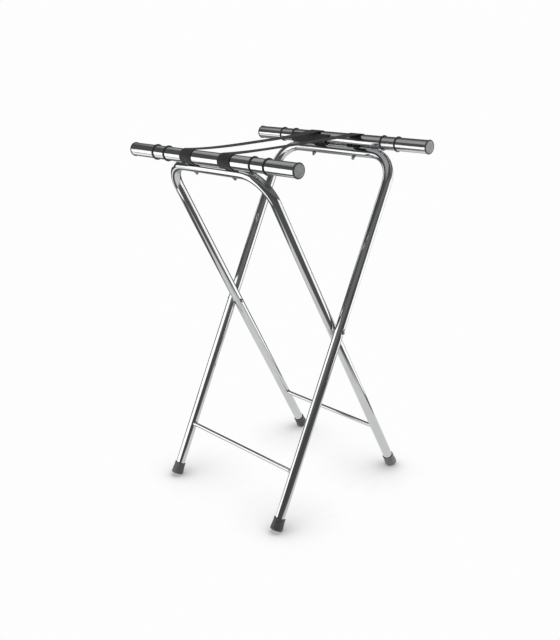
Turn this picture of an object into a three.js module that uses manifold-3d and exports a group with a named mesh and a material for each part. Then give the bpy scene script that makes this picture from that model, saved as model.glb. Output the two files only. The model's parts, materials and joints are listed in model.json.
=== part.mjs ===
// Tall folding X stand for a suitcase or tray: two bent-tube frames riveted together at
// their crossing, a chromed bar on top of each, and two webbing straps from bar to bar.
// Millimetres, X along the bars, Y across the spread, Z up, origin on the floor below the pivots.

import * as THREE from 'three';
import { mergeVertices } from 'three/addons/utils/BufferGeometryUtils.js';
import Module from 'manifold-3d';

const wasm = await Module();
wasm.setup();

// ---------------------------------------------------------------- driving dimensions

const LEAN = THREE.MathUtils.degToRad(26.8); // each frame's lean from upright when open
const PIVOT_HEIGHT = 406.5;
const GAP = 0.3; // between pieces that touch

const TUBE_R = 11;
const TUBE_WALL = 1.2;
const BEND_R = 64;
const BEND_STEPS = 8;
const TOP_ARM = 399.2; // pivot to the axis of a frame's top tube
const HALF_WIDTH = { a: 158.5, b: 181.1 }; // centre to leg axis: a is the inner frame
const STRETCHER_ARM = 321.3; // pivot down to the stretcher
const STRETCHER_R = 4.8;
const WELD_R = 6.4; // where a stretcher's end flares into its weld
const WELD_LENGTH = 3.5;

const BAR_R = 14.5;
const BAR_WALL = 1.2;
const BAR_HALF = 265; // to the outer face of the end caps
const BAR_SHIFT = { a: 4.5, b: 0 }; // bar a is bolted on a little to the right
const CAP_R = 15.5; // the flange stands 1 mm proud of the bar
const CAP_FLANGE = 2.7;
const CAP_STEM = 12;
const CAP_STEM_WALL = 1.6;
const CAP_EDGE = 1.2; // bevel round a cap's face
const CAP_CROWN = 0.3; // the face's slight dome
const RING_PLACES = [-180.5, -140, 140, 180.5]; // grip rings along a bar
const RING_SHIFT = { a: 1.5, b: -1.5 }; // the rings have crept a little along each bar
const RING_THICK = 2.6;
const RING_WIDE = 3;

const STRAP_X = 63; // straps and their bolts, left and right of the middle
const STRAP_WIDTH = 38;
const STRAP_SHIFT = { a: 6, b: -7 }; // each strap runs a little askew from bar to bar
const STRAP_T = 1.2;
const STRAP_SAG = 5;
const STRAP_TAIL = 30; // degrees of free end past the clamp
const WRAP_TOP = { a: 88, b: 56 }; // degrees from outward-level where a wrap meets the next piece
const TOP_GAP = 2; // degrees between the wrap and the short piece over bar b
const WRAP_STEP = 15; // degrees
const SPAN_STEPS = 5;

const BOLT_R = 2.5;
const BOLT_HEAD_R = 4.5;
const BOLT_HEAD_H = 3;
const NUT_FLATS = 8;
const NUT_HEX_H = 4;
const NUT_HEIGHT = 9.5;

const RIVET_R = 2.5;
const RIVET_HEAD_R = 5.5;
const RIVET_HEAD_H = 4.5;
const HOLE_CLEARANCE = 0.1;
const THROUGH = 20; // how far a drill runs each way from a tube's axis
const PAST = 2; // how far a cutter runs past a surface
const FLAT_DEPTH = 0.7; // flats pressed in the tubes under rivet heads, washers and nuts
const FLAT_R = 6;

const FOOT_ARM = 450.4; // pivot to a foot's end face, which the floor presses flat at its low edge
const FOOT_R = 14.2; // at the widest
const FOOT_TOP_R = 12.7;
const FOOT_LENGTH = 28;
const SOLE = 6;
const GROUND = { size: 2000, depth: 40 }; // the block that presses the feet flat

const ROUND = 24; // facets round a tube
const FINE_ROUND = 32; // facets round a bar
const SMALL_ROUND = 16; // facets round rivets, bolts, nuts and their holes

// ---------------------------------------------------------------- what follows from them

const BAR_ARM = TOP_ARM + TUBE_R + BAR_R + GAP; // pivot to bar axis: the bar lies on the tube
const BAR_Y = BAR_ARM * Math.sin(LEAN);
const BAR_Z = PIVOT_HEIGHT + BAR_ARM * Math.cos(LEAN);
const STRAP_IN = BAR_R + GAP; // inner radius of a strap where it goes round a bar
const STRAP_OUT = STRAP_IN + STRAP_T;
const BORE_R = TUBE_R - TUBE_WALL;

// ---------------------------------------------------------------- finishes

const finish = (color, roughness, metalness) =>
  new THREE.MeshStandardMaterial({ color, roughness, metalness });

const CHROME = finish(0xd9dadc, 0.08, 1);
const RUBBER = finish(0x242526, 0.75, 0);
const WEBBING = finish(0x2a2b2d, 0.9, 0);
const GREY_PLASTIC = finish(0x8b8c8e, 0.5, 0);
const NYLON = finish(0xe4e3dd, 0.5, 0);

// ---------------------------------------------------------------- solids and cuts

function solidOf(geometry) {
  const bare = geometry.clone();
  bare.deleteAttribute('normal');
  bare.deleteAttribute('uv');
  const merged = mergeVertices(bare, 1e-4);
  const vertProperties = new Float32Array(merged.attributes.position.array);
  const triVerts = new Uint32Array(merged.index.array);
  return new wasm.Manifold(new wasm.Mesh({ numProp: 3, vertProperties, triVerts }));
}

function geometryOf(solid) {
  const mesh = solid.getMesh();
  const geometry = new THREE.BufferGeometry();
  geometry.setAttribute('position', new THREE.BufferAttribute(mesh.vertProperties, 3));
  geometry.setIndex(new THREE.BufferAttribute(mesh.triVerts, 1));
  geometry.computeVertexNormals();
  return geometry;
}

function cut(geometry, cutters) {
  return geometryOf(cutters.reduce((solid, cutter) => solid.subtract(solidOf(cutter)), solidOf(geometry)));
}

// Turned shapes: a list of [radius, height] pairs spun round X or Z.
function turnedZ(profile, facets) {
  const points = profile.map(([radius, height]) => new THREE.Vector2(radius, height));
  return new THREE.LatheGeometry(points, facets).rotateX(Math.PI / 2);
}

function turnedX(profile, facets) {
  const points = profile.map(([radius, height]) => new THREE.Vector2(radius, height));
  return new THREE.LatheGeometry(points, facets).rotateZ(-Math.PI / 2);
}

// A round cutter along X from one x to another, or along Z.
function drillX(radius, from, to, facets = SMALL_ROUND) {
  const drill = new THREE.CylinderGeometry(radius, radius, to - from, facets).rotateZ(-Math.PI / 2);
  return drill.translate((from + to) / 2, 0, 0);
}

function drillZ(radius, from, to, facets = SMALL_ROUND) {
  const drill = new THREE.CylinderGeometry(radius, radius, to - from, facets).rotateX(Math.PI / 2);
  return drill.translate(0, 0, (from + to) / 2);
}

// An outline in the YZ plane, drawn out along X about the middle x.
function drawnAlongX(outline, width, middle) {
  const points = outline.map(([y, z]) => new THREE.Vector2(y, z));
  const shape = new THREE.Shape(points);
  const geometry = new THREE.ExtrudeGeometry(shape, { depth: width, bevelEnabled: false });
  const toYZ = new THREE.Matrix4().makeBasis(
    new THREE.Vector3(0, 1, 0),
    new THREE.Vector3(0, 0, 1),
    new THREE.Vector3(1, 0, 0),
  );
  return geometry.applyMatrix4(toYZ).translate(middle - width / 2, 0, 0);
}

// A quarter ellipse of [radius, height] pairs, for domes and rounded edges.
function quarter(radius, height, from, steps) {
  return Array.from({ length: steps + 1 }, (_, i) => {
    const angle = (i / steps) * (Math.PI / 2);
    return [radius * Math.cos(angle), from + height * Math.sin(angle)];
  });
}

// ---------------------------------------------------------------- the scene

const stand = new THREE.Group();

// Each frame's group has its origin at the pivots and +Z up along the legs.
function leaningGroup(side) {
  const group = new THREE.Group();
  group.position.set(0, 0, PIVOT_HEIGHT);
  group.rotation.x = -side * LEAN;
  group.updateMatrix();
  stand.add(group);
  return group;
}

function add(parent, name, geometry, material, x = 0, y = 0, z = 0) {
  const mesh = new THREE.Mesh(geometry, material);
  mesh.name = name;
  mesh.position.set(x, y, z);
  parent.add(mesh);
  return mesh;
}

// ---------------------------------------------------------------- bent frames

// The U that a frame's tube follows: one station at each end of a straight, several round a bend.
class BentPath extends THREE.Curve {
  constructor(half, legEnd) {
    super();
    const bendZ = TOP_ARM - BEND_R;
    this.stations = [[new THREE.Vector3(-half, 0, legEnd), new THREE.Vector3(0, 0, 1)]];
    for (const side of [-1, 1]) {
      for (let i = 0; i <= BEND_STEPS; i += 1) {
        const turn = ((side < 0 ? i : BEND_STEPS - i) / BEND_STEPS) * (Math.PI / 2);
        const x = side * (half - BEND_R + BEND_R * Math.cos(turn));
        const z = bendZ + BEND_R * Math.sin(turn);
        const tangent = new THREE.Vector3(Math.sin(turn), 0, -side * Math.cos(turn));
        this.stations.push([new THREE.Vector3(x, 0, z), tangent]);
      }
    }
    this.stations.push([new THREE.Vector3(half, 0, legEnd), new THREE.Vector3(0, 0, -1)]);
  }

  get steps() {
    return this.stations.length - 1;
  }

  getPointAt(u) {
    return this.stations[Math.round(u * this.steps)][0].clone();
  }

  getTangentAt(u) {
    return this.stations[Math.round(u * this.steps)][1].clone();
  }
}

function bentRod(radius, half, legEnd, facets) {
  const outline = Array.from({ length: facets }, (_, i) => {
    const angle = (i / facets) * 2 * Math.PI;
    return new THREE.Vector2(radius * Math.cos(angle), radius * Math.sin(angle));
  });
  const path = new BentPath(half, legEnd);
  return new THREE.ExtrudeGeometry(new THREE.Shape(outline), { steps: path.steps, extrudePath: path });
}

// A flat pressed in a tube at x, facing the way of the sign; deeper by the wall for its inner skin.
function flatAlongX(x, sign, depth, radius) {
  const near = x + sign * (TUBE_R - depth);
  const far = x + sign * (TUBE_R + PAST);
  return drillX(radius, Math.min(near, far), Math.max(near, far));
}

function frameTube(key) {
  const half = HALF_WIDTH[key];
  const legEnd = -FOOT_ARM + SOLE + GAP;
  const sides = [-1, 1];
  const flats = (depth, radius) =>
    sides.flatMap((leg) => sides.map((facing) => flatAlongX(leg * half, facing, depth, radius)));
  const underside = TOP_ARM - TUBE_R;
  const nutFlats = (depth, radius) => {
    const nutFlat = () => drillZ(radius, underside - PAST, underside + depth);
    return sides.map((side) => nutFlat().translate(side * STRAP_X, 0, 0));
  };
  const saddles = (extra) => {
    const reach = STRAP_WIDTH / 2 + GAP + extra;
    const saddle = () => drillX(STRAP_OUT + GAP + extra, -reach, reach, ROUND);
    return sides.map((side) => saddle().translate(side * STRAP_X + STRAP_SHIFT[key], 0, BAR_ARM));
  };

  const rivetHole = () => drillX(RIVET_R + HOLE_CLEARANCE, -THROUGH, THROUGH);
  const boltHole = () => drillZ(BOLT_R + HOLE_CLEARANCE, -THROUGH, THROUGH);

  const inner = cut(bentRod(BORE_R, half, legEnd - 1, SMALL_ROUND), [
    ...flats(FLAT_DEPTH + TUBE_WALL, FLAT_R + TUBE_WALL),
    ...nutFlats(FLAT_DEPTH + TUBE_WALL, FLAT_R + TUBE_WALL),
    ...saddles(TUBE_WALL),
  ]);
  return cut(bentRod(TUBE_R, half, legEnd, ROUND), [
    inner,
    ...flats(FLAT_DEPTH, FLAT_R),
    ...nutFlats(FLAT_DEPTH, FLAT_R),
    ...saddles(0),
    ...sides.map((leg) => rivetHole().translate(leg * half, 0, 0)),
    ...sides.map((side) => boltHole().translate(side * STRAP_X, 0, TOP_ARM)),
  ]);
}

// A rod welded between the legs: its ends flare into the weld and are hollowed to the legs' curve.
function stretcher(half) {
  const reach = half - TUBE_R + PAST;
  const flare = half - TUBE_R - GAP;
  const plain = flare - WELD_LENGTH;
  const rod = turnedX([
    [0, -reach], [WELD_R, -reach], [WELD_R, -flare], [STRETCHER_R, -plain],
    [STRETCHER_R, plain], [WELD_R, flare], [WELD_R, reach], [0, reach],
  ], SMALL_ROUND);
  const leg = () => drillZ(TUBE_R + GAP, -THROUGH, THROUGH, ROUND);
  return cut(rod, [-1, 1].map((side) => leg().translate(side * half, 0, 0)));
}

// ---------------------------------------------------------------- feet

// A rubber ferrule on a leg end, worn flat where its low edge meets the floor.
function foot(group, x) {
  const bore = TUBE_R + GAP;
  const ferrule = turnedZ([
    [0, 0], [FOOT_R - 2, 0], [FOOT_R - 0.6, 0.6], [FOOT_R, 2], [FOOT_R - 0.2, 5],
    [FOOT_TOP_R, FOOT_LENGTH - 0.8], [FOOT_TOP_R - 0.5, FOOT_LENGTH],
    [bore, FOOT_LENGTH], [bore, SOLE], [0, SOLE],
  ], ROUND).translate(x, 0, -FOOT_ARM);
  const ground = new THREE.BoxGeometry(GROUND.size, GROUND.size, GROUND.depth);
  ground.translate(0, 0, -GROUND.depth / 2);
  ground.applyMatrix4(group.matrix.clone().invert());
  return cut(ferrule, [ground]);
}

// ---------------------------------------------------------------- bars and what is on them

function bar(key) {
  const half = BAR_HALF - CAP_FLANGE - GAP;
  const tube = turnedX([
    [BAR_R, -half], [BAR_R, half], [BAR_R - BAR_WALL, half], [BAR_R - BAR_WALL, -half], [BAR_R, -half],
  ], FINE_ROUND);
  return cut(tube, [-1, 1].map((side) =>
    drillZ(BOLT_R + HOLE_CLEARANCE, -BAR_R - PAST, 0).translate(side * STRAP_X - BAR_SHIFT[key], 0, 0)));
}

// A grey plug: a domed flange over the bar's end and a hollow stem inside it. Made for the +X end.
function cap() {
  const stem = BAR_R - BAR_WALL - GAP;
  const hollow = stem - CAP_STEM_WALL;
  const flange = BAR_HALF - CAP_FLANGE;
  const stemEnd = flange - CAP_STEM;
  const face = BAR_HALF - CAP_CROWN;
  const corner = CAP_EDGE * 0.3;
  return turnedX([
    [0, flange], [hollow, flange], [hollow, stemEnd], [stem, stemEnd], [stem, flange], [CAP_R, flange],
    [CAP_R, face - CAP_EDGE], [CAP_R - corner, face - corner], [CAP_R - CAP_EDGE, face], [0, BAR_HALF],
  ], ROUND);
}

// A grip ring of D section, its flat foot on the bar.
function gripRing() {
  const inner = BAR_R + GAP;
  const flat = RING_WIDE * 0.36;
  const outline = [[inner, flat], [inner, -flat]];
  for (const angle of [-65, -25, 25, 65]) {
    const turn = THREE.MathUtils.degToRad(angle);
    outline.push([inner + (RING_THICK / 2) * (1 + Math.cos(turn)), (RING_WIDE / 2) * Math.sin(turn)]);
  }
  return turnedX([...outline, outline[0]], ROUND);
}

// Bolt through bar, strap and tube, its head inside the bar. Origin on the bar's axis.
function barBolt() {
  const headUnder = -(BAR_R - BAR_WALL - GAP - 1);
  const end = TOP_ARM - BAR_ARM - TUBE_R - NUT_HEX_H - 1.5;
  return turnedZ([
    [0, end], [BOLT_R - 0.5, end], [BOLT_R, end + 0.5], [BOLT_R, headUnder],
    [BOLT_HEAD_R, headUnder], ...quarter(BOLT_HEAD_R, BOLT_HEAD_H, headUnder, 2).slice(1),
  ], SMALL_ROUND);
}

// Domed cap nut under the tube. Origin on the bar's axis.
function capNut() {
  const seat = TOP_ARM - BAR_ARM - TUBE_R + FLAT_DEPTH - GAP;
  const corner = NUT_FLATS / 2 / Math.cos(Math.PI / 6);
  const hex = drillZ(corner, seat - NUT_HEX_H, seat, 6);
  const domeR = NUT_FLATS / 2 - 0.2;
  const domeBase = seat - NUT_HEX_H;
  const crown = quarter(domeR, NUT_HEIGHT - NUT_HEX_H, 0, 3).reverse();
  const dome = turnedZ([
    ...crown.map(([r, h]) => [r, domeBase - h]), [domeR, domeBase + 1], [0, domeBase + 1],
  ], SMALL_ROUND);
  const thread = drillZ(BOLT_R + HOLE_CLEARANCE, domeBase - 3, seat + PAST);
  return geometryOf(solidOf(hex).add(solidOf(dome)).subtract(solidOf(thread)));
}

// ---------------------------------------------------------------- pivots

// A rivet through an inner and an outer leg, domed at both ends. Made for the +X side.
function pivotRivet() {
  const inner = HALF_WIDTH.a - TUBE_R + FLAT_DEPTH - GAP;
  const outer = HALF_WIDTH.b + TUBE_R - FLAT_DEPTH + GAP;
  const dome = quarter(RIVET_HEAD_R, RIVET_HEAD_H, 0, 3);
  return turnedX([
    ...dome.slice().reverse().map(([r, h]) => [r, inner - h]),
    [RIVET_R, inner], [RIVET_R, outer],
    ...dome.map(([r, h]) => [r, outer + h]),
  ], SMALL_ROUND);
}

function pivotWasher() {
  const from = HALF_WIDTH.a + TUBE_R - FLAT_DEPTH + GAP;
  const to = HALF_WIDTH.b - TUBE_R + FLAT_DEPTH - GAP;
  const hole = RIVET_R + HOLE_CLEARANCE;
  const rim = FLAT_R - GAP;
  return turnedX([[rim, from], [rim, to], [hole, to], [hole, from], [rim, from]], SMALL_ROUND);
}

// ---------------------------------------------------------------- straps

// Webbing round a bar between two angles, measured from outward-level through the top.
function wrapOutline(side, from, to) {
  const steps = Math.ceil(Math.abs(to - from) / WRAP_STEP);
  const arc = (radius) => Array.from({ length: steps + 1 }, (_, i) => {
    const angle = THREE.MathUtils.degToRad(from + ((to - from) * i) / steps);
    return [side * (BAR_Y + radius * Math.cos(angle)), BAR_Z + radius * Math.sin(angle)];
  });
  return [...arc(STRAP_OUT), ...arc(STRAP_IN).reverse()];
}

// Half of a strap's run between the bars, with its share of the sag.
function spanOutline(side) {
  const edge = (radius) => Array.from({ length: SPAN_STEPS + 1 }, (_, i) => {
    const y = GAP / 2 + ((BAR_Y - GAP) * i) / SPAN_STEPS;
    return [side * y, BAR_Z + radius - STRAP_SAG * (1 - (y / BAR_Y) ** 2)];
  });
  return [...edge(STRAP_OUT), ...edge(STRAP_IN).reverse()];
}

function addStrap(name, x, groups) {
  const clamp = -90 - THREE.MathUtils.radToDeg(LEAN);
  const middle = (STRAP_SHIFT.a + STRAP_SHIFT.b) / 2;
  const askew = new THREE.Matrix4().makeShear(0, 0, (STRAP_SHIFT.b - STRAP_SHIFT.a) / 2 / BAR_Y, 0, 0, 0);
  for (const [key, side] of Object.entries({ a: -1, b: 1 })) {
    const wrap = wrapOutline(side, WRAP_TOP[key], clamp - STRAP_TAIL);
    const band = drawnAlongX(wrap, STRAP_WIDTH, x + STRAP_SHIFT[key]);
    const hole = drillZ(BOLT_R + HOLE_CLEARANCE + GAP, -THROUGH, -BAR_R + PAST).translate(x, 0, BAR_ARM);
    hole.applyMatrix4(groups[key].matrix);
    add(stand, `${name}_wrap_${key}`, cut(band, [hole]), WEBBING);
    const span = drawnAlongX(spanOutline(side), STRAP_WIDTH, x + middle).applyMatrix4(askew);
    add(stand, `${name}_span_${key}`, span, WEBBING);
  }
  const over = wrapOutline(1, 90, WRAP_TOP.b + TOP_GAP);
  add(stand, `${name}_top_b`, drawnAlongX(over, STRAP_WIDTH, x + STRAP_SHIFT.b), WEBBING);
}

// ---------------------------------------------------------------- assembly

const groups = {};
for (const [key, side] of Object.entries({ a: -1, b: 1 })) {
  const group = leaningGroup(side);
  const half = HALF_WIDTH[key];
  groups[key] = group;
  add(group, `frame_${key}`, frameTube(key), CHROME);
  add(group, `stretcher_${key}`, stretcher(half), CHROME, 0, 0, -STRETCHER_ARM);
  add(group, `top_bar_${key}`, bar(key), CHROME, BAR_SHIFT[key], 0, BAR_ARM);
  for (const [end, sign] of [['left', -1], ['right', 1]]) {
    const plug = add(group, `end_cap_${key}_${end}`, cap(), GREY_PLASTIC, BAR_SHIFT[key], 0, BAR_ARM);
    plug.rotation.z = sign > 0 ? 0 : Math.PI;
    add(group, `foot_${key}_${end}`, foot(group, sign * half), RUBBER);
    add(group, `bar_bolt_${key}_${end}`, barBolt(), CHROME, sign * STRAP_X, 0, BAR_ARM);
    add(group, `cap_nut_${key}_${end}`, capNut(), CHROME, sign * STRAP_X, 0, BAR_ARM);
  }
  RING_PLACES.forEach((place, i) => {
    const x = place + BAR_SHIFT[key] + RING_SHIFT[key];
    add(group, `grip_ring_${key}_${i + 1}`, gripRing(), RUBBER, x, 0, BAR_ARM);
  });
}

for (const [end, turn] of [['left', Math.PI], ['right', 0]]) {
  add(stand, `pivot_rivet_${end}`, pivotRivet(), CHROME, 0, 0, PIVOT_HEIGHT).rotation.z = turn;
  add(stand, `pivot_washer_${end}`, pivotWasher(), NYLON, 0, 0, PIVOT_HEIGHT).rotation.z = turn;
}

addStrap('strap_left', -STRAP_X, groups);
addStrap('strap_right', STRAP_X, groups);

export default stand;
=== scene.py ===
"""Folding luggage rack: two chromed tube frames, two chromed top bars and two webbing straps.

Lengths are in millimetres until a mesh is made, and in metres after that.
"""

import json
import math

import bmesh
import bpy
from mathutils import Matrix, Vector
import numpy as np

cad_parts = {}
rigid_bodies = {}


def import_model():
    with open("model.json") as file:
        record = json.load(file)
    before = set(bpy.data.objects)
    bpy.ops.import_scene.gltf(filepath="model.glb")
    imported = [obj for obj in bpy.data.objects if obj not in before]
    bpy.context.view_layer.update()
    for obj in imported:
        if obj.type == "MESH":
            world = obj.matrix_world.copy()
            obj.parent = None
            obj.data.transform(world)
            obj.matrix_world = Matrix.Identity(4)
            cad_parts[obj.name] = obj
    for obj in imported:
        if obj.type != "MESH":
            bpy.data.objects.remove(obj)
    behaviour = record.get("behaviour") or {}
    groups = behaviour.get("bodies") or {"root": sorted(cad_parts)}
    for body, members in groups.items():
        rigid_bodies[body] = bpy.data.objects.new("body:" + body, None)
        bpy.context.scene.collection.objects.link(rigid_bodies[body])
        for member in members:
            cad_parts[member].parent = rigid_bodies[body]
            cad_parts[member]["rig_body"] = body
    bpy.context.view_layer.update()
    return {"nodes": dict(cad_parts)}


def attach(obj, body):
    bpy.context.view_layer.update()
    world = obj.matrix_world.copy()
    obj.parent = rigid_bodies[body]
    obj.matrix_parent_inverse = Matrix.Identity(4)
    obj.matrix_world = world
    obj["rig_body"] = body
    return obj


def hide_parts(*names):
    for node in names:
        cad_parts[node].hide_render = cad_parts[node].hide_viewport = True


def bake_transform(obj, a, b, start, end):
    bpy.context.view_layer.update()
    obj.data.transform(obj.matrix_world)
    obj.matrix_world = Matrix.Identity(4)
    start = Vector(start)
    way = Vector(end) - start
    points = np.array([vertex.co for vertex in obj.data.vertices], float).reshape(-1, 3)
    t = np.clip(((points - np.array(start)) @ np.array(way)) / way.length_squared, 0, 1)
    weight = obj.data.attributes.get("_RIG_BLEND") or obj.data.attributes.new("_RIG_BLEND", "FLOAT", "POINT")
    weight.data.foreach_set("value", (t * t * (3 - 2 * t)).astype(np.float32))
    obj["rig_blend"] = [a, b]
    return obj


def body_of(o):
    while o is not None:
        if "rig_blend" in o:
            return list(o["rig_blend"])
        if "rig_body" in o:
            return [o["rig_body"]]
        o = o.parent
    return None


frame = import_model()

MM = 0.001

# ------------------------------------------------------------------ sizes of the rack

LEAN = math.radians(26.8)  # each frame's lean from upright
PIVOT_HEIGHT = 406.5
TOP_ARM = 399.2  # pivot to the top tube's axis
TUBE = 11.0  # radius of the frame tube
BEND = 64.0  # radius of its two bends, at the tube's axis
HALF_WIDTH = {"a": 158.5, "b": 181.1}  # middle of the rack to a leg's axis
SIDE = {"a": -1, "b": 1}  # the way a frame's top leans
BODY = {"a": "inner_frame", "b": "outer_frame"}
END = {"left": -1, "right": 1}

BAR = 14.5  # radius of a top bar
BAR_WALL = 1.2  # thickness of its tube's wall
BAR_ARM = 425.0  # pivot to a top bar's axis
BAR_HALF = 265.0  # a bar's middle to the outer face of its end caps
BAR_Y = BAR_ARM * math.sin(LEAN)
BAR_Z = PIVOT_HEIGHT + BAR_ARM * math.cos(LEAN)
CAP_FLANGE = 2.7  # thickness of an end cap's flange
CAP_GAP = 0.08  # between a bar's end and the flange
BAR_SHIFT = {"a": 4.5, "b": 0.0}  # the near bar is bolted on a little to the right
RING_PLACES = (-180.5, -140.0, 140.0, 180.5)  # along a bar, from its middle
RING_SHIFT = {"a": 1.5, "b": -1.5}  # the rings have crept a little along each bar
RING_THICK = 2.0  # how far the round of a ring stands out
RING_HALF = 1.5  # half its width

BOLT_X = 63.0  # the straps' bolts, left and right of the middle
FLAT = 10.3  # tube axis to the flats pressed under rivets, washers and nuts
FLAT_REACH = 9.0  # how far a pressed flat goes from its middle
FLAT_BLEND = (6.0, 8.5)  # where it rises back to the round tube
FOOT_ARM = 450.4  # pivot to a foot's end face
SOLE = 6.0  # thickness of rubber under the tube's end
STRETCHER_ARM = 321.3  # pivot down to the stretcher
STRETCHER = 4.8  # its radius

STRAP_WIDTH = 38.0
STRAP_THICK = 1.2
STRAP_GAP = 0.3  # between a bar and the webbing round it
STRAP_ROUND = BAR + STRAP_GAP + STRAP_THICK / 2  # bar axis to the middle of the webbing
SEAT_GAP = 0.15  # between the webbing and the tube under it
SEAT_BLEND = (0.5, 3.5)  # past a strap's edge, where the tube rises back from under it
STRAP_SHIFT = {"a": 6.0, "b": -7.0}  # each strap runs a little askew from bar to bar
STRAP_SEAM = 95.0  # middle of the rack to where a strap's end pieces start


def leaning(key):
    """A frame's own upright axes, with the origin at the pivot, to the rack's axes."""
    lean = Matrix.Rotation(-SIDE[key] * LEAN, 4, "X")
    return Matrix.Translation((0, 0, PIVOT_HEIGHT)) @ lean


def ease(value, low, high):
    """A smooth step from 0 at low to 1 at high."""
    t = min(max((value - low) / (high - low), 0.0), 1.0)
    return t * t * (3 - 2 * t)


# ------------------------------------------------------------------ materials


def colour(code):
    """A colour from sRGB hex, as the linear RGBA that sockets hold."""
    channels = [int(code[i : i + 2], 16) / 255 for i in (1, 3, 5)]
    linear = [c / 12.92 if c <= 0.04045 else ((c + 0.055) / 1.055) ** 2.4 for c in channels]
    return (*linear, 1.0)


def add_node(tree, kind, values=None, links=None, **settings):
    """A node with its settings, its fixed inputs and its links, by socket name or number."""
    made = tree.nodes.new(kind)
    for name, value in settings.items():
        setattr(made, name, value)
    for socket, value in (values or {}).items():
        made.inputs[socket].default_value = value
    for socket, source in (links or {}).items():
        tree.links.new(source, made.inputs[socket])
    return made


def noise(tree, place, scale, detail, roughness=0.5):
    """A cloudy pattern between 0 and 1, its patches about 1 / scale across."""
    values = {"Scale": scale, "Detail": detail, "Roughness": roughness}
    return add_node(tree, "ShaderNodeTexNoise", values, {"Vector": place}).outputs["Fac"]


def ranged(tree, value, before, after, interpolation="LINEAR"):
    """A value moved from one range to another, and kept inside it."""
    values = {
        "From Min": before[0],
        "From Max": before[1],
        "To Min": after[0],
        "To Max": after[1],
    }
    links = {"Value": value}
    made = add_node(tree, "ShaderNodeMapRange", values, links, interpolation_type=interpolation)
    return made.outputs["Result"]


def maths(tree, operation, *terms):
    """The result of an operation whose terms are numbers or other nodes' outputs."""
    made = add_node(tree, "ShaderNodeMath", operation=operation)
    for socket, term in zip(made.inputs, terms):
        if isinstance(term, float):
            socket.default_value = term
        else:
            tree.links.new(term, socket)
    return made.outputs["Value"]


def toned(tree, value, low, high):
    """A colour between two tones, each given with the value where it starts."""
    ramp = add_node(tree, "ShaderNodeValToRGB", links={"Fac": value})
    for stop, (position, code) in zip(ramp.color_ramp.elements, (low, high)):
        stop.position = position
        stop.color = colour(code)
    return ramp.outputs["Color"]


def covered(tree, tone, code, share):
    """A tone with a flat colour laid over it by a share."""
    # a Mix node's colours are its sixth and seventh inputs, counted from 0, and second output
    links = {0: share, 6: tone}
    made = add_node(tree, "ShaderNodeMix", {7: colour(code)}, links, data_type="RGBA")
    return made.outputs[2]


def relief(tree, height, strength, distance, under=None):
    """Fine relief from a height, on top of the relief under it."""
    links = {"Height": height}
    if under:
        links["Normal"] = under
    values = {"Strength": strength, "Distance": distance}
    return add_node(tree, "ShaderNodeBump", values, links).outputs["Normal"]


def object_place(tree):
    """Places in the rack's own axes, in metres."""
    return add_node(tree, "ShaderNodeTexCoord").outputs["Object"]


def skin_place(tree):
    """Places round and along a piece's skin, in metres."""
    return add_node(tree, "ShaderNodeUVMap", uv_map="finish").outputs["UV"]


def split(tree, place):
    """The three numbers of a place, by the names X, Y and Z."""
    return add_node(tree, "ShaderNodeSeparateXYZ", links={"Vector": place}).outputs


def start_material(name, values):
    """A material with one Principled shader, whose fixed inputs are given."""
    material = bpy.data.materials.new(name)
    material.use_nodes = True
    tree = material.node_tree
    tree.nodes.clear()
    shader = add_node(tree, "ShaderNodeBsdfPrincipled", values)
    add_node(tree, "ShaderNodeOutputMaterial", links={"Surface": shader.outputs["BSDF"]})
    return material, tree, shader


def dress(tree, shader, tone, rough, normal=None):
    """Gives a shader its colour, its roughness and its fine relief."""
    tree.links.new(tone, shader.inputs["Base Color"])
    tree.links.new(rough, shader.inputs["Roughness"])
    if normal:
        tree.links.new(normal, shader.inputs["Normal"])


def bright_chromium_plate():
    """Steel tube, drawn, bent, belt polished and plated with bright chromium.

    The eye gets a mirror with faint lines along the tube, left by the drawing and the belt,
    a slow ripple in the wall that bends long reflections, and a light haze of handling.
    """
    material, tree, shader = start_material("bright_chromium_plate", {"Metallic": 1.0})
    along = skin_place(tree)
    place = object_place(tree)
    # round and along the tube in metres: lines 0.6 mm apart and 60 mm long
    stretch = add_node(tree, "ShaderNodeMapping", {"Scale": (1600.0, 16.0, 1.0)}, {"Vector": along})
    lines = noise(tree, stretch.outputs["Vector"], scale=1.0, detail=3.0, roughness=0.6)
    # handling haze in patches about 60 mm across
    haze = noise(tree, place, scale=16.0, detail=4.0, roughness=0.65)
    tone = toned(tree, haze, (0.3, "#bfc0c1"), (0.7, "#c9cacb"))
    both = maths(tree, "MULTIPLY", lines, haze)
    rough = ranged(tree, both, (0.1, 0.5), (0.035, 0.11))
    # the wall's ripple: waves about 25 mm long, a few hundredths of a millimetre high
    ripple = noise(tree, place, scale=40.0, detail=1.0)
    wave = relief(tree, ripple, strength=0.3, distance=0.0003)
    drawn = relief(tree, lines, strength=0.05, distance=0.00004, under=wave)
    dress(tree, shader, tone, rough, drawn)
    return material


def barrel_plated_fastener():
    """Steel rivets, bolts and cap nuts, cold headed and plated in a barrel.

    The eye gets a softer and greyer shine than the tube's, with fine pits and dulled edges.
    """
    material, tree, shader = start_material("barrel_plated_fastener", {"Metallic": 1.0})
    # pits 0.7 mm apart
    pits = noise(tree, object_place(tree), scale=1400.0, detail=3.0, roughness=0.7)
    tone = toned(tree, pits, (0.35, "#8f9091"), (0.65, "#b4b5b6"))
    rough = ranged(tree, pits, (0.3, 0.7), (0.16, 0.34))
    pitted = relief(tree, pits, strength=0.15, distance=0.00005)
    dress(tree, shader, tone, rough, pitted)
    return material


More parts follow.
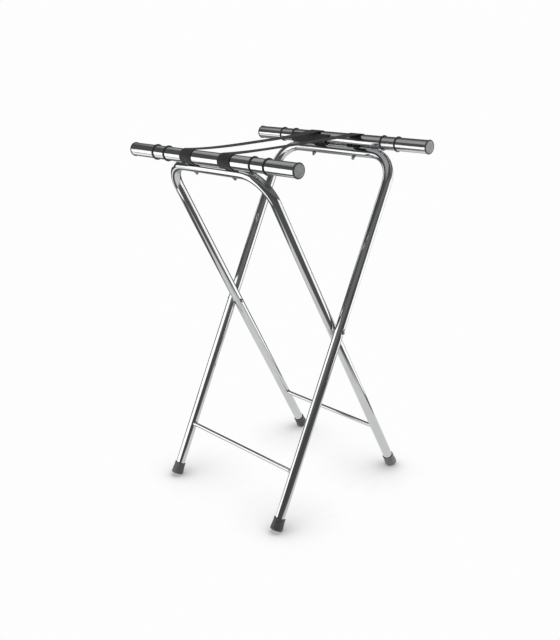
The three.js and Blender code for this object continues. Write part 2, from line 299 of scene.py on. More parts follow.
def grey_polypropylene():
    """End caps of grey polypropylene, injection moulded in a spark-eroded mould.

    The eye gets an even satin grey with a fine grain, a little cloudy where the plastic
    flowed, and a painted shade that darkens the rim where the flange meets the chrome.
    """
    material, tree, shader = start_material("grey_polypropylene", {"IOR": 1.49})
    place = object_place(tree)
    # the mould's grain is about 0.4 mm
    grain = noise(tree, place, scale=2500.0, detail=2.0)
    # flow clouds about 8 mm across
    cloud = noise(tree, place, scale=120.0, detail=3.0)
    body = toned(tree, cloud, (0.3, "#8a8b8c"), (0.7, "#a2a3a4"))
    # painted shade darkens the flange's rounded edge and fades on its face, 30 to 32 mm along the
    # skin from the middle of the stem's end
    along = split(tree, skin_place(tree))["Y"]
    rim_shade = ranged(tree, along, (0.0302, 0.0318), (0.9, 0.0))
    rim_shaded = covered(tree, body, "#3e3e3f", rim_shade)
    rough = ranged(tree, grain, (0.3, 0.7), (0.4, 0.52))
    grained = relief(tree, grain, strength=0.25, distance=0.00004)
    dress(tree, shader, rim_shaded, rough, grained)
    return material


def moulded_black_rubber(name, clean, bloomed, dust):
    """Ferrules of black natural rubber, compression moulded over a core.

    The eye gets a dark warm grey with a dusty bloom, a fine matt grain and scuffs by the floor.
    """
    material, tree, shader = start_material(name, {"IOR": 1.52})
    place = object_place(tree)
    # grain of 0.8 mm
    grain = noise(tree, place, scale=1200.0, detail=3.0, roughness=0.6)
    # bloom in patches about 12 mm across
    bloom = noise(tree, place, scale=80.0, detail=4.0, roughness=0.6)
    tone = toned(tree, bloom, (0.3, clean), (0.72, bloomed))
    # dust and scuffs fade out 9 mm above the floor
    low = ranged(tree, split(tree, place)["Z"], (0.0, 0.009), (0.55, 0.0))
    scuffed = covered(tree, tone, dust, low)
    rough = ranged(tree, bloom, (0.3, 0.7), (0.5, 0.68))
    grained = relief(tree, grain, strength=0.3, distance=0.00008)
    dress(tree, shader, scuffed, rough, grained)
    return material


def nitrile_ring():
    """Grip rings of black nitrile, moulded as cords and cured smooth.

    The eye gets a blacker, smoother rubber than the feet's, with a soft highlight and lint.
    """
    material, tree, shader = start_material("nitrile_ring", {"IOR": 1.52})
    # lint and dust specks about 1 mm across
    lint = noise(tree, object_place(tree), scale=900.0, detail=4.0, roughness=0.7)
    tone = toned(tree, lint, (0.35, "#39393a"), (0.8, "#565657"))
    rough = ranged(tree, lint, (0.3, 0.75), (0.26, 0.45))
    specks = relief(tree, lint, strength=0.2, distance=0.00005)
    dress(tree, shader, tone, rough, specks)
    return material


def natural_nylon():
    """Pivot washers of natural nylon, stamped from sheet.

    The eye gets a slightly see-through ivory with a waxy gloss, greyed by chrome dust.
    """
    values = {"IOR": 1.53, "Subsurface Weight": 0.15, "Subsurface Scale": 0.002}
    material, tree, shader = start_material("natural_nylon", values)
    # dust in specks of 0.5 mm
    dust = noise(tree, object_place(tree), scale=2000.0, detail=3.0)
    tone = toned(tree, dust, (0.3, "#c9c6bb"), (0.65, "#dedbd0"))
    rough = ranged(tree, dust, (0.3, 0.7), (0.3, 0.45))
    dress(tree, shader, tone, rough)
    return material


def woven_webbing():
    """Straps of black polypropylene webbing, woven plain in flat bundles of fibre.

    The eye gets rounded bundles that pass over and under each other, painted paler on their
    crowns and darker in the dips as painted shade, with a soft fibrous sheen, and slow light and dark
    patches along the band.
    """
    values = {
        "IOR": 1.49,
        "Specular IOR Level": 0.35,
        "Sheen Weight": 0.1,
        "Sheen Roughness": 0.5,
    }
    material, tree, shader = start_material("woven_webbing", values)
    along = skin_place(tree)
    # bundles 3.4 mm apart, twice as coarse as real ones, so that the weave shows from afar:
    # half a wave for each bundle, so pi / 0.0034 m
    pitch = {1: (924.0, 924.0, 0.0)}
    waves = add_node(tree, "ShaderNodeVectorMath", pitch, {0: along}, operation="MULTIPLY")
    parts = split(tree, waves.outputs["Vector"])
    across = maths(tree, "SINE", parts["X"])
    length = maths(tree, "SINE", parts["Y"])
    # above zero a warp bundle is on top, and below zero a weft bundle is
    over = maths(tree, "MULTIPLY", across, length)
    height = maths(tree, "POWER", maths(tree, "ABSOLUTE", over), 0.5)
    # fibres 0.25 mm apart in the bundles
    fibre = noise(tree, along, scale=4000.0, detail=2.0)
    # patches where the band has rubbed, about 25 mm long
    rubbed = noise(tree, along, scale=40.0, detail=3.0, roughness=0.6)
    warp = ranged(tree, over, (-0.6, 0.6), (0.0, 0.45))
    # painted shade: the dips between bundles are darker and the crowns paler, by the weave's height
    light = maths(tree, "MULTIPLY_ADD", height, 0.35, warp)
    mottled = maths(tree, "MULTIPLY_ADD", rubbed, 0.5, light)
    tone = toned(tree, mottled, (0.3, "#1a1a1b"), (1.0, "#343435"))
    rough = ranged(tree, fibre, (0.3, 0.7), (0.7, 0.9))
    weave = relief(tree, height, strength=0.35, distance=0.0004)
    strands = relief(tree, fibre, strength=0.25, distance=0.0001, under=weave)
    dress(tree, shader, tone, rough, strands)
    return material


CHROME = bright_chromium_plate()
FASTENER = barrel_plated_fastener()
POLYPROPYLENE = grey_polypropylene()
RUBBER = moulded_black_rubber("moulded_black_rubber", "#3b3b3c", "#515152", "#5e5d5b")
# a lighter copy of the same rubber: painted light for a ferrule that is lit more
LIT_RUBBER = moulded_black_rubber("painted_lit_black_rubber", "#626262", "#7c7c7c", "#787774")
NITRILE = nitrile_ring()
NYLON = natural_nylon()
WEBBING = woven_webbing()

# ------------------------------------------------------------------ meshes

SHARP = math.radians(38)  # edges that turn more than this are drawn sharp


def skin(name, rings, material, turn=None, closed=True, floor=False):
    """A piece from rings of points in millimetres, each ring joined to the next.

    The finish UV map holds the distance round and along the skin in metres.
    """
    turn = turn or Matrix.Identity(4)
    placed = []
    for ring in rings:
        row = [turn @ Vector(point) for point in ring]
        if floor:
            row = [Vector((p.x, p.y, max(p.z, 0.0))) for p in row]
        placed.append([point * MM for point in row])
    count = len(placed[0])
    around = [0.0]
    widest = max(placed, key=lambda row: sum((row[i] - row[i - 1]).length for i in range(count)))
    for i in range(count):
        around.append(around[-1] + (widest[(i + 1) % count] - widest[i]).length)
    along = [0.0]
    for before, after in zip(placed, placed[1:]):
        along.append(along[-1] + max((b - a).length for a, b in zip(before, after)))
    mesh = bmesh.new()
    finish = mesh.loops.layers.uv.new("finish")
    points = [[mesh.verts.new(point) for point in row] for row in placed]
    last = count if closed else count - 1
    for j in range(len(points) - 1):
        for i in range(last):
            n = (i + 1) % count
            corners = (
                (points[j][i], around[i], along[j]),
                (points[j][n], around[i + 1], along[j]),
                (points[j + 1][n], around[i + 1], along[j + 1]),
                (points[j + 1][i], around[i], along[j + 1]),
            )
            face = mesh.faces.new([corner[0] for corner in corners])
            for loop, corner in zip(face.loops, corners):
                loop[finish].uv = (corner[1], corner[2])
    for row, where in ((points[0], along[0]), (points[-1], along[-1])):
        face = mesh.faces.new(row)
        for loop, i in zip(face.loops, range(count)):
            loop[finish].uv = (around[i], where)
    # a ring of zero radius closes to one point
    bmesh.ops.remove_doubles(mesh, verts=mesh.verts, dist=1e-7)
    bmesh.ops.recalc_face_normals(mesh, faces=mesh.faces)
    for face in mesh.faces:
        face.smooth = True
    for edge in mesh.edges:
        if len(edge.link_faces) == 2:
            edge.smooth = edge.calc_face_angle() < SHARP
    data = bpy.data.meshes.new(name)
    mesh.to_mesh(data)
    mesh.free()
    data.materials.append(material)
    piece = bpy.data.objects.new(name, data)
    bpy.context.scene.collection.objects.link(piece)
    return piece


def stand_in_for(piece, node):
    """The piece takes over from a CAD node: it joins the node's body, and the node is hidden."""
    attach(piece, body_of(frame["nodes"][node])[0])
    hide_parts(node)


def lathe_x(profile, facets):
    """Rings for a shape turned round X, from pairs of radius and place."""
    steps = [2 * math.pi * i / facets for i in range(facets)]
    return [[(x, r * math.cos(t), r * math.sin(t)) for t in steps] for r, x in profile]


def lathe_z(profile, facets):
    """Rings for a shape turned round Z, from pairs of radius and height."""
    steps = [2 * math.pi * i / facets for i in range(facets)]
    return [[(r * math.cos(t), r * math.sin(t), h) for t in steps] for r, h in profile]


# ------------------------------------------------------------------ frames


def frame_path(half):
    """Stations along a frame's bent tube: x, arm and heading, from the right foot to the left."""
    foot = -(FOOT_ARM - SOLE)
    top_of_leg = TOP_ARM - BEND
    # a station each 20 mm, and each millimetre where the rivet presses the tube
    near_pivot = range(-10, 11)
    arms = sorted({foot, *range(-430, int(top_of_leg), 20), *near_pivot, top_of_leg})
    leg = [(half, arm, math.pi / 2) for arm in arms]
    bend = []
    steps = 28
    for i in range(1, steps + 1):
        t = math.pi / 2 * i / steps
        x = half - BEND + BEND * math.cos(t)
        bend.append((x, top_of_leg + BEND * math.sin(t), math.pi / 2 + t))
    corner = half - BEND
    # a station each 1.5 mm by the straps and nuts, and each 8 mm elsewhere
    fine = [side * BOLT_X + i * 1.5 for side in (-1, 1) for i in range(-20, 21)]
    coarse = [corner - 8 * i for i in range(1, int(corner / 4))]
    across = sorted({round(x, 2) for x in fine + coarse if -corner + 1 < x < corner - 1})
    top = [(x, TOP_ARM, math.pi) for x in reversed(across)]
    other_bend = [(-x, arm, 2 * math.pi - heading) for x, arm, heading in reversed(bend)]
    other_leg = [(-x, arm, 3 * math.pi / 2) for x, arm, _ in reversed(leg)]
    return leg + bend + top + other_bend + other_leg


def pressed(x, y, arm, half, key):
    """Presses a point of the tube in where a rivet, a washer, a nut or a strap bears on it."""
    leg = math.copysign(half, x)
    away = math.hypot(y, arm)
    if away < FLAT_REACH:
        limit = FLAT + (TUBE - FLAT) * ease(away, *FLAT_BLEND)
        x = leg + min(max(x - leg, -limit), limit)
    for side in (-1, 1):
        away = math.hypot(x - side * BOLT_X, y)
        if away < FLAT_REACH and TOP_ARM - 2 * TUBE < arm < TOP_ARM:
            limit = FLAT + (TUBE - FLAT) * ease(away, *FLAT_BLEND)
            arm = max(arm, TOP_ARM - limit)
        # the strap lies between bar and tube
        off = abs(x - side * BOLT_X - STRAP_SHIFT[key]) - STRAP_WIDTH / 2
        if off < SEAT_BLEND[1] and arm > TOP_ARM:
            reach = math.hypot(y, arm - BAR_ARM)
            deep = BAR + STRAP_GAP + STRAP_THICK + SEAT_GAP
            seat = deep - (deep - BAR) * ease(off, *SEAT_BLEND)
            if reach < seat:
                y = y * seat / reach
                arm = BAR_ARM + (arm - BAR_ARM) * seat / reach
    return x, y, arm


def frame_tube(key):
    """A frame's one bent tube, from sole to sole."""
    half = HALF_WIDTH[key]
    facets = 48
    rings = []
    for x, arm, heading in frame_path(half):
        out = (math.sin(heading), -math.cos(heading))
        ring = []
        for i in range(facets):
            t = 2 * math.pi * i / facets
            r = TUBE * math.cos(t)
            here = (x + out[0] * r, TUBE * math.sin(t), arm + out[1] * r)
            ring.append(pressed(*here, half, key))
        rings.append(ring)
    return skin(f"bent_tube_{key}", rings, CHROME, leaning(key))


def stretcher(key):
    """A rod between the legs, with a weld bead round each end."""
    reach = HALF_WIDTH[key] - TUBE + 1.1  # its ends are sunk 1.1 mm in the legs
    facets = 32
    # how far the bead stands out, and the distance from the rod's end
    swell = [(1.8, 0.0), (1.8, 1.4), (1.4, 2.4), (0.75, 3.4), (0.25, 4.4), (0.0, 5.6)]
    left = [(STRETCHER + rise, -reach + place) for rise, place in swell]
    right = [(r, -x) for r, x in reversed(left)]
    rings = []
    for r, x in left + right:
        ring = []
        for i in range(facets):
            t = 2 * math.pi * i / facets
            # the bead is lumpy, because it was run by hand
            bead = (r - STRETCHER) * (1 + 0.16 * math.sin(5 * t + x) + 0.1 * math.sin(9 * t))
            ring.append((x, (STRETCHER + bead) * math.cos(t), (STRETCHER + bead) * math.sin(t)))
        rings.append(ring)
    turn = leaning(key) @ Matrix.Translation((0, 0, -STRETCHER_ARM))
    return skin(f"welded_stretcher_{key}", rings, CHROME, turn)


def foot(key, end):
    """A rubber ferrule, pressed flat where it stands on the floor."""
    # radius and height over the end face, from the bottom of the bore round to the sole
    profile = [
        (0, 8),
        (11.1, 8),
        (11.1, 27.2),
        (11.4, 27.8),
        (12.0, 28.0),
        (12.7, 27.9),
        (13.05, 27.3),
        (13.05, 26.4),
        (12.75, 25.5),
        (12.7, 24.6),
        (12.85, 21),
        (13.2, 16),
        (13.6, 11),
        (14.0, 6.5),
        (14.2, 4.2),
        (14.15, 2.8),
        (13.9, 1.6),
        (13.3, 0.7),
        (12.2, 0.15),
        (10, 0.0),
        (0, 0.0),
    ]
    place = Matrix.Translation((END[end] * HALF_WIDTH[key], 0, -FOOT_ARM))
    rings = lathe_z(profile, 48)
    # one ferrule gets a lighter copy of the rubber, painted light for the light that falls on it
    finish = LIT_RUBBER if (key, end) == ("a", "right") else RUBBER
    return skin(f"ferrule_{key}_{end}", rings, finish, leaning(key) @ place, floor=True)


def cap_nut(key, end):
    """A hexagon with chamfered corners, and a dome over the bolt's end."""
    facets = 48
    # radius or half the distance over the flats, distance below the tube, and 1 for the hexagon
    profile = [
        (0.0, 0.0, 0),
        (3.9, 0.0, 0),
        (4.0, 0.05, 1),
        (4.0, 3.3, 1),
        (4.0, 3.8, 0),
        (3.55, 4.2, 0),
        (3.5, 6.0, 0),
        (3.25, 7.3, 0),
        (2.7, 8.3, 0),
        (1.8, 9.1, 0),
        (0.9, 9.45, 0),
        (0.0, 9.5, 0),
    ]
    rings = []
    for r, h, hexagon in profile:
        ring = []
        for i in range(facets):
            t = 2 * math.pi * i / facets
            corner = math.cos((t % (math.pi / 3)) - math.pi / 6)
            reach = r / corner if hexagon else r
            ring.append((reach * math.cos(t), reach * math.sin(t), -h))
        rings.append(ring)
    place = Matrix.Translation((END[end] * BOLT_X, 0, TOP_ARM - FLAT))
    return skin(f"domed_nut_{key}_{end}", rings, FASTENER, leaning(key) @ place)


def pivot_rivet(end):
    """A rivet through both legs, its heads formed over the outer and the inner leg."""
    inner = HALF_WIDTH["a"] - FLAT
    outer = HALF_WIDTH["b"] + FLAT
    # radius and height of the domed head, from its crown to its rim
    head = [(0, 4.5), (1.6, 4.4), (3.0, 4.0), (4.2, 3.2), (5.0, 2.0), (5.45, 0.9), (5.5, 0.3)]
    under = 5.3
    shank = 2.5
    profile = [(r, outer + h) for r, h in head]
    profile += [(under, outer), (shank, outer), (shank, inner), (under, inner)]
    profile += [(r, inner - h) for r, h in reversed(head)]
    place = Matrix.Translation((0, 0, PIVOT_HEIGHT)) @ Matrix.Scale(END[end], 4, (1, 0, 0))
    return skin(f"rivet_{end}", lathe_x(profile, 32), FASTENER, place)


for key in ("a", "b"):
    stand_in_for(frame_tube(key), f"frame_{key}")
    stand_in_for(stretcher(key), f"stretcher_{key}")
    for end in ("left", "right"):
        stand_in_for(foot(key, end), f"foot_{key}_{end}")
        stand_in_for(cap_nut(key, end), f"cap_nut_{key}_{end}")
for end in ("left", "right"):
    stand_in_for(pivot_rivet(end), f"pivot_rivet_{end}")

# ------------------------------------------------------------------ top bars


def on_bar(key):
    """The middle of a top bar's axis."""
    return leaning(key) @ Matrix.Translation((BAR_SHIFT[key], 0, BAR_ARM))


def top_bar(key):
    """A bar's tube, its cut ends eased, with a ring of points each 20 mm along it."""
    reach = BAR_HALF - CAP_FLANGE - CAP_GAP
    bore = BAR - BAR_WALL
    cut = [(BAR, reach - 0.3), (BAR - 0.25, reach), (bore, reach)]
    profile = [(r, -x) for r, x in reversed(cut)]
    profile += [(BAR, -reach + 20 * i) for i in range(1, 27) if -reach + 20 * i < reach - 1]
    profile += cut
    return skin(f"bar_tube_{key}", lathe_x(profile, 64), CHROME, on_bar(key))


def end_cap(key, end):
    """A plug with a flange 1 mm proud of the bar, its face crowned and its edge rounded."""
    face = BAR_HALF - CAP_FLANGE
    # radius and place along the bar from the flange's back, out from the stem's end
    profile = [
        (0, -11.5),
        (12.2, -11.5),
        (13.0, -10.5),
        (13.1, 0.0),
        (15.2, 0.0),
        (15.5, 0.3),
        (15.5, 1.3),
        (15.38, 1.75),
        (15.05, 2.15),
        (14.5, 2.38),
        (13.9, 2.45),
        (9.6, 2.57),
        (4.5, 2.67),
        (0, 2.7),
    ]
    rings = lathe_x([(r, face + x) for r, x in profile], 64)
    turn = on_bar(key) @ Matrix.Scale(END[end], 4, (1, 0, 0))
    return skin(f"plug_{key}_{end}", rings, POLYPROPYLENE, turn)


def grip_ring(key, number):
    """A ring of D-shaped cord, flat against the bar."""
    centre = RING_PLACES[number - 1] + RING_SHIFT[key]
    arc = [math.pi * i / 10 for i in range(11)]
    back = BAR + 0.05
    shoulder = BAR + 0.55
    profile = [(shoulder + RING_THICK * math.sin(t), centre - RING_HALF * math.cos(t)) for t in arc]
    profile = [(back, centre - RING_HALF + 0.1), *profile, (back, centre + RING_HALF - 0.1)]
    profile.append(profile[0])
    return skin(f"ring_{key}_{number}", lathe_x(profile, 64), NITRILE, on_bar(key))


for key in ("a", "b"):
    stand_in_for(top_bar(key), f"top_bar_{key}")
    for end in ("left", "right"):
        stand_in_for(end_cap(key, end), f"end_cap_{key}_{end}")
    for number in (1, 2, 3, 4):
        stand_in_for(grip_ring(key, number), f"grip_ring_{key}_{number}")
# the bolts and washers keep their own shapes and get a better finish
for start, finish in (("bar_bolt", FASTENER), ("pivot_washer", NYLON)):
    for name, node in frame["nodes"].items():
        if name.startswith(start):
            node.data.materials.clear()
            node.data.materials.append(finish)

# ------------------------------------------------------------------ straps

STRAP_LOW = {"left": 9.4, "right": 12.4}  # middle of the run above the bars' axes
STRAP_LEAVE = {"left": 6.0, "right": 3.0}  # degrees past the bar's top where the run starts
STRAP_TILT = {"left": 1.7, "right": 4.0}  # degrees, at the middle of the run
CLAMP = -90 - math.degrees(LEAN)  # round a bar, from outward-level through the top
STRAP_TAIL = 30  # degrees of free end past the clamp
STRAP_LIFT = math.radians(80)  # the way from a bar's axis to where its strap lifts off
STRAP_BEND = (-0.17, 0.97)  # where it bends along that way, in shares of the band's radius
FOLD_HALF = 10  # half the length of the fold at a strap's middle


def band_section():
    """Points round the webbing's section: across its width, and through its thickness."""
    half = STRAP_WIDTH / 2 - STRAP_THICK / 2
    thick = STRAP_THICK / 2
    wide = [half - 2 * half * i / 16 for i in range(17)]
    edge = [(thick * math.sin(t), thick * math.cos(t)) for t in (0.6, 1.2, 1.9, 2.5)]
    section = [(x, thick) for x in wide]
    section += [(-half - x, z) for x, z in edge]
    section += [(-x, -thick) for x in wide]
    section += [(half + x, -z) for x, z in edge]
    return section


def band_ring(x, y, z, slope, tilt=0.0):
    """The section set at a point of the strap's path, its path rising at slope along Y."""
    ring = []
    for across, through in band_section():
        lift = through + across * math.sin(math.radians(tilt))
        ring.append((x + across, y - lift * math.sin(slope), z + lift * math.cos(slope)))
    return ring


def run_height(end, y):
    """Height and slope of the run above the bars' axes, and how far it is from the bars."""
    leave = math.radians(STRAP_LEAVE[end])
    reach = BAR_Y - STRAP_ROUND * math.sin(leave)
    rise = STRAP_ROUND * math.cos(leave) - STRAP_LOW[end]
    power = math.tan(leave) * reach / rise
    share = min(abs(y) / reach, 1.0)
    height = STRAP_LOW[end] + rise * share**power
    slope = math.copysign(rise * power / reach * share ** (power - 1), y)
    return height, math.atan(slope), 1 - share**3


def strap_x(end, y):
    """The middle of a strap along X: each runs a little askew from bar to bar."""
    askew = (STRAP_SHIFT["b"] - STRAP_SHIFT["a"]) / 2 * y / BAR_Y
    return END[end] * BOLT_X + (STRAP_SHIFT["a"] + STRAP_SHIFT["b"]) / 2 + askew


def run_rings(end, start, stop, steps):
    """Rings of a strap's run between two places along Y."""
    rings = []
    for i in range(steps + 1):
        y = start + (stop - start) * i / steps
        height, slope, free = run_height(end, y)
        tilt = STRAP_TILT[end] * free
        rings.append(band_ring(strap_x(end, y), y, BAR_Z + height, slope, tilt))
    return rings


def strap_end(end, key):
    """A strap's clamped end, its turn round a bar and the run as far as the seam."""
    side = SIDE[key]
    leave = 90 + STRAP_LEAVE[end]
    first = CLAMP - STRAP_TAIL
    x = strap_x(end, side * BAR_Y)
    rings = []
    steps = 60
    for i in range(steps + 1):
        angle = math.radians(first + (leave - first) * i / steps)
        y = side * (BAR_Y + STRAP_ROUND * math.cos(angle))
        z = BAR_Z + STRAP_ROUND * math.sin(angle)
        rings.append(band_ring(x, y, z, side * (math.pi / 2 - angle)))
    reach = BAR_Y - STRAP_ROUND * math.sin(math.radians(STRAP_LEAVE[end]))
    run = run_rings(end, side * reach, side * STRAP_SEAM, 24)
    piece = skin(f"strap_{end}_{key}", rings + run[1:], WEBBING)
    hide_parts(f"strap_{end}_wrap_{key}", f"strap_{end}_span_{key}")
    # it bends in folding between the bar's axis and where it lifts off the bar
    over = Vector((0, -side * math.cos(STRAP_LIFT), math.sin(STRAP_LIFT)))
    bar = Vector((0, side * BAR_Y, BAR_Z))
    start, stop = [(bar + over * STRAP_ROUND * share) * MM for share in STRAP_BEND]
    moving = {"a": "straps_half_a", "b": "straps_tail_b"}[key]
    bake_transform(piece, BODY[key], moving, start, stop)
    return piece


def strap_middle(end):
    """The middle of a strap's run, which folds double when the rack is closed."""
    piece = skin(f"strap_{end}_middle", run_rings(end, -STRAP_SEAM, STRAP_SEAM, 60), WEBBING)
    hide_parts(f"strap_{end}_top_b")
    low = BAR_Z + STRAP_LOW[end]
    start = Vector((0, -FOLD_HALF, low)) * MM
    stop = Vector((0, FOLD_HALF, low)) * MM
    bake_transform(piece, "straps_half_a", "straps_half_b", start, stop)
    return piece


def turned_end():
    """The far left strap's free end, turned along its bar and resting on the tube below."""
    stand = 15.4  # bar axis to the middle of the band
    drop = 12.0  # the straight part of the section, below the bar's axis
    cut, slant = -14.0, -16.0  # the near end along X, and how much farther its bottom corner is
    far = -139.4  # the far end along X
    belly = 1.3  # how far the band stands off between its edges
    half = STRAP_THICK / 2
    # its section, outwards and up from the bar's axis: part of the bar's round, then straight down
    section = []
    for i in range(9):
        angle = math.radians(142 + 38 * i / 8)
        normal = (math.cos(angle), math.sin(angle))
        section.append((stand * normal[0], stand * normal[1], normal))
    section += [(-stand, -drop * i / 8, (-1.0, 0.0)) for i in range(1, 9)]
    last = len(section) - 1
    rings = []
    for j in range(31):
        share = j / 30
        outer = []
        inner = []
        for i, (out, up, normal) in enumerate(section):
            x = (cut + slant * i / last) * (1 - share) + far * share
            crown = belly * math.sin(math.pi * i / last) * (0.6 + 0.4 * math.cos(5 * share))
            for side, row in ((half, outer), (-half, inner)):
                y = BAR_Y + out + normal[0] * (crown + side)
                row.append((x, y, BAR_Z + up + normal[1] * (crown + side)))
        rings.append(outer + inner[::-1])
    piece = skin("strap_left_turned_end", rings, WEBBING)
    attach(piece, BODY["b"])


def tongue():
    """A pointed corner of the near left strap's under layer, drooping beside the clamp."""
    rings = []
    for j in range(13):
        share = j / 12
        # its two edges, along X, outwards and up from the bar's axis, meet in a drooping point
        out = 9.5 + 0.5 * share
        upper = Vector((-68 - 35.5 * share, out, -13.2 - 7.2 * share**3.5))
        lower = Vector((-56 - 47.6 * share, out, -19.5 - 1.2 * share))
        half = 0.6 - 0.35 * share  # it thins towards the point
        outer = []
        inner = []
        for i in range(7):
            x, out, up = upper.lerp(lower, i / 6)
            for side, row in ((half, outer), (-half, inner)):
                row.append((x, -BAR_Y - out - side, BAR_Z + up))
        rings.append(outer + inner[::-1])
    piece = skin("strap_left_tongue", rings, WEBBING)
    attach(piece, BODY["a"])
    return piece


left_tongue = tongue()
turned_end()
for end in ("left", "right"):
    for key in ("a", "b"):
        piece = strap_end(end, key)
    strap_middle(end)

# ------------------------------------------------------------------ camera


def look(azimuth, elevation, roll, distance, target):
    """The camera's place and turn: azimuth from the front, -Y, towards +X, in degrees."""
    az = math.radians(azimuth)
    el = math.radians(elevation)
    back = Vector((math.sin(az) * math.cos(el), -math.cos(az) * math.cos(el), math.sin(el)))
    right = Vector((math.cos(az), math.sin(az), 0))
    up = back.cross(right)
    turn = math.radians(roll)
    side = right * math.cos(turn) + up * math.sin(turn)
    top = up * math.cos(turn) - right * math.sin(turn)
    axes = Matrix((side, top, back)).transposed().to_4x4()
    return Matrix.Translation((Vector(target) + back * distance) * MM) @ axes


lens = bpy.data.cameras.new("camera")
lens.sensor_width = 36.0
lens.lens = 48.106
lens.clip_start = 0.01
camera = bpy.data.objects.new("camera", lens)
bpy.context.scene.collection.objects.link(camera)
camera.matrix_world = look(
    azimuth=48.075,
    elevation=18.706,
    roll=-1.926,
    distance=1892.694,
    target=(58.786, -61.362, 420.535),
)
bpy.context.scene.camera = camera

# ------------------------------------------------------------------ studio

WHITE = 0.985  # how white the background is drawn


def softbox(name, centre, facing, width, height, radiance):
    """An even panel of light, sized in metres, that mirrors in the chrome."""
    light = bpy.data.lights.new(name, "AREA")
    light.shape = "RECTANGLE"
    light.size = width
    light.size_y = height
    light.energy = radiance * math.pi * width * height
    panel = bpy.data.objects.new(name, light)
    bpy.context.scene.collection.objects.link(panel)
    panel.location = centre
    panel.rotation_euler = (-Vector(facing)).to_track_quat("Z", "Y").to_euler()
    panel.visible_camera = False


# where each stands, the way it faces, its width and height, and its radiance
softbox("softbox_front_left", (-0.5, -0.68, 0.42), (0.0, 1.0, 0.0), 0.94, 0.84, 1.8)
softbox("softbox_front_raised", (-1.22, -0.68, 0.6), (0.0, 1.0, 0.0), 0.48, 0.5, 1.8)
softbox("softbox_rear_right", (0.5, 0.74, 0.4), (-0.6, -0.8, 0.0), 1.05, 0.8, 1.6)
softbox("softbox_left", (-1.15, 0.02, 0.95), (1.0, 0.0, 0.0), 0.45, 0.5, 1.4)


def glow(tree, strength):
    """White light of a strength that a node gives."""
    white = {"Color": (1.0, 1.0, 1.0, 1.0)}
    made = add_node(tree, "ShaderNodeEmission", white, {"Strength": strength})
    return made.outputs["Emission"]


def studio_world():
    """White behind everything, a plain fill light, and a dim ceiling for the chrome to mirror."""
    world = bpy.data.worlds.new("studio")
    world.use_nodes = True
    bpy.context.scene.world = world
    tree = world.node_tree
    tree.nodes.clear()
    ray = add_node(tree, "ShaderNodeLightPath")
    # the fill light's level, and the ceiling's as the chrome sees it
    seen = add_node(
        tree,
        "ShaderNodeMix",
        {2: 0.55, 3: 0.11},
        {0: ray.outputs["Is Glossy Ray"]},
        data_type="FLOAT",
    )
    strength = add_node(
        tree,
        "ShaderNodeMix",
        {3: WHITE},
        {0: ray.outputs["Is Camera Ray"], 2: seen.outputs[0]},
        data_type="FLOAT",
    )
    light = add_node(
        tree,
        "ShaderNodeBackground",
        {"Color": (1.0, 1.0, 1.0, 1.0)},
        {"Strength": strength.outputs[0]},
    )
    add_node(tree, "ShaderNodeOutputWorld", links={"Surface": light.outputs["Background"]})


def stage_piece(name, radius, height, wall=0.0):
    """A round sheet of the studio at a height, or a round wall, with an empty material."""
    data = bpy.data.meshes.new(name)
    mesh = bmesh.new()
    if wall:
        made = bmesh.ops.create_cone(mesh, segments=96, radius1=radius, radius2=radius, depth=wall)
        bmesh.ops.translate(mesh, verts=made["verts"], vec=(0, 0, wall / 2))
    else:
        bmesh.ops.create_circle(mesh, cap_ends=True, segments=96, radius=radius)
    mesh.to_mesh(data)
    mesh.free()
    piece = bpy.data.objects.new(name, data)
    bpy.context.scene.collection.objects.link(piece)
    piece.location = (0, 0, height)
    material = bpy.data.materials.new(name)
    material.use_nodes = True
    material.node_tree.nodes.clear()
    data.materials.append(material)
    return piece, material.node_tree


def only_mirrored(piece):
    """Hides a piece of the studio from all but what mirrors it."""
    piece.visible_camera = False
    piece.visible_diffuse = False
    piece.visible_transmission = False
    piece.visible_shadow = False


def soft_edges(tree, place, edges):
    """A patch's brightness: soft edges multiplied together.

    Each edge is a direction, two places along it in metres, and the levels there.
    """
    cover = None
    for way, places, levels in edges:
        across = add_node(
            tree,
            "ShaderNodeVectorMath",
            {1: way},
            {0: place},
            operation="DOT_PRODUCT",
        )
        level = ranged(tree, across.outputs["Value"], places, levels, "SMOOTHSTEP")
        cover = maths(tree, "MULTIPLY", cover, level) if cover else level
    return cover


def room_walls():
    """The dim room round the stage, darker low down, that only the chrome sees."""
    walls, tree = stage_piece("room_walls", 2.4, 0.0, wall=2.3)
    only_mirrored(walls)
    place = split(tree, object_place(tree))
    # lighter above about a metre, more so on the right-hand side
    high = ranged(tree, place["Z"], (0.7, 1.4), (0.0, 0.12), "SMOOTHSTEP")
    right = ranged(tree, place["X"], (-0.9, 0.3), (0.15, 1.0), "SMOOTHSTEP")
    level = maths(tree, "MULTIPLY_ADD", high, right, 0.1)
    add_node(tree, "ShaderNodeOutputMaterial", links={"Surface": glow(tree, level)})


def overhead_reflector():
    """A white card over the front bar, its edges soft, that only the chrome sees."""
    card, tree = stage_piece("overhead_reflector", 1.4, 1.35)
    only_mirrored(card)
    edges = (
        ((1.0, 1.1, 0.0), (-1.3, -0.8), (0.0, 1.0)),
        ((1.0, 0.0, 0.0), (0.55, 0.3), (0.0, 1.0)),
        ((0.0, 1.0, 0.0), (-0.7, -0.25), (0.0, 1.0)),
        ((0.0, 1.0, 0.0), (0.45, 0.1), (0.0, 1.0)),
    )
    cover = soft_edges(tree, object_place(tree), edges)
    light = glow(tree, maths(tree, "MULTIPLY", cover, 0.42))
    gone = add_node(tree, "ShaderNodeBsdfTransparent").outputs["BSDF"]
    both = add_node(tree, "ShaderNodeAddShader", links={0: gone, 1: light})
    add_node(tree, "ShaderNodeOutputMaterial", links={"Surface": both.outputs["Shader"]})


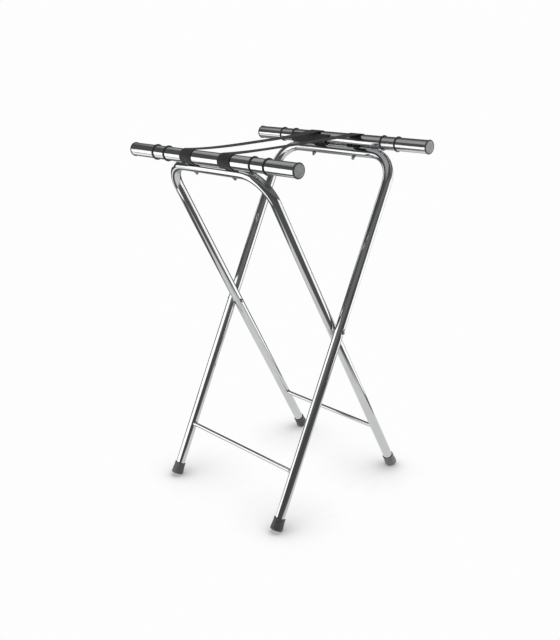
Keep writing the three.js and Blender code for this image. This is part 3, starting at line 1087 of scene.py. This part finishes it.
def mirrored_floor(tree, place):
    """How bright the chrome sees the floor: white paper that ends along slanting edges."""
    edges = (
        ((1.0, -0.5, 0.0), (0.33, 0.6), (1.0, 0.0)),
        ((0.0, 1.0, 0.0), (-0.95, -0.7), (0.0, 1.0)),
        ((1.0, 0.0, 0.0), (-0.75, -0.45), (0.3, 0.97)),
        # the dark rim along the foot of the front softbox
        ((0.52, 0.854, 0.0), (-0.55, -0.48), (0.15, 1.0)),
        # the unlit strip before the rear softbox
        ((0.6, 0.8, 0.0), (0.64, 0.74), (1.0, 0.15)),
    )
    # the floor beyond the edges is never quite dark
    paper = maths(tree, "MAXIMUM", soft_edges(tree, place, edges), 0.13)
    # a lit patch by the left end of the front softbox
    middle = {1: (-1.52, -0.5, 0.0)}
    off = add_node(tree, "ShaderNodeVectorMath", middle, {0: place}, operation="DISTANCE")
    patch = ranged(tree, off.outputs["Value"], (0.34, 0.48), (1.2, 0.0), "SMOOTHSTEP")
    return glow(tree, maths(tree, "ADD", paper, patch))


def studio_floor():
    """A white floor that is as white as the background, but for the shade round each foot."""
    _, tree = stage_piece("white_paper_floor", 4.0, 0.0)
    ray = add_node(tree, "ShaderNodeLightPath")
    paint = add_node(tree, "ShaderNodeBsdfDiffuse", {"Color": colour("#e6e6e6")})
    # what stands within 170 mm shades the paper, from mid grey where it closes off half the sky
    open_sky = add_node(tree, "ShaderNodeAmbientOcclusion", {"Distance": 0.17}, samples=32)
    shade = add_node(tree, "ShaderNodeValToRGB", links={"Fac": open_sky.outputs["AO"]})
    stops = shade.color_ramp.elements
    stops.new(0.8)
    for stop, (openness, level) in zip(stops, ((0.5, 0.42), (0.8, 0.68), (0.965, WHITE))):
        stop.position = openness
        stop.color = (level, level, level, 1.0)
    lit = add_node(
        tree,
        "ShaderNodeMixShader",
        links={
            0: ray.outputs["Is Glossy Ray"],
            1: paint.outputs["BSDF"],
            2: mirrored_floor(tree, object_place(tree)),
        },
    )
    final = add_node(
        tree,
        "ShaderNodeMixShader",
        links={
            0: ray.outputs["Is Camera Ray"],
            1: lit.outputs["Shader"],
            2: glow(tree, shade.outputs["Color"]),
        },
    )
    add_node(tree, "ShaderNodeOutputMaterial", links={"Surface": final.outputs["Shader"]})


room_walls()
overhead_reflector()
studio_world()
studio_floor()
bpy.context.scene.view_settings.view_transform = "Standard"
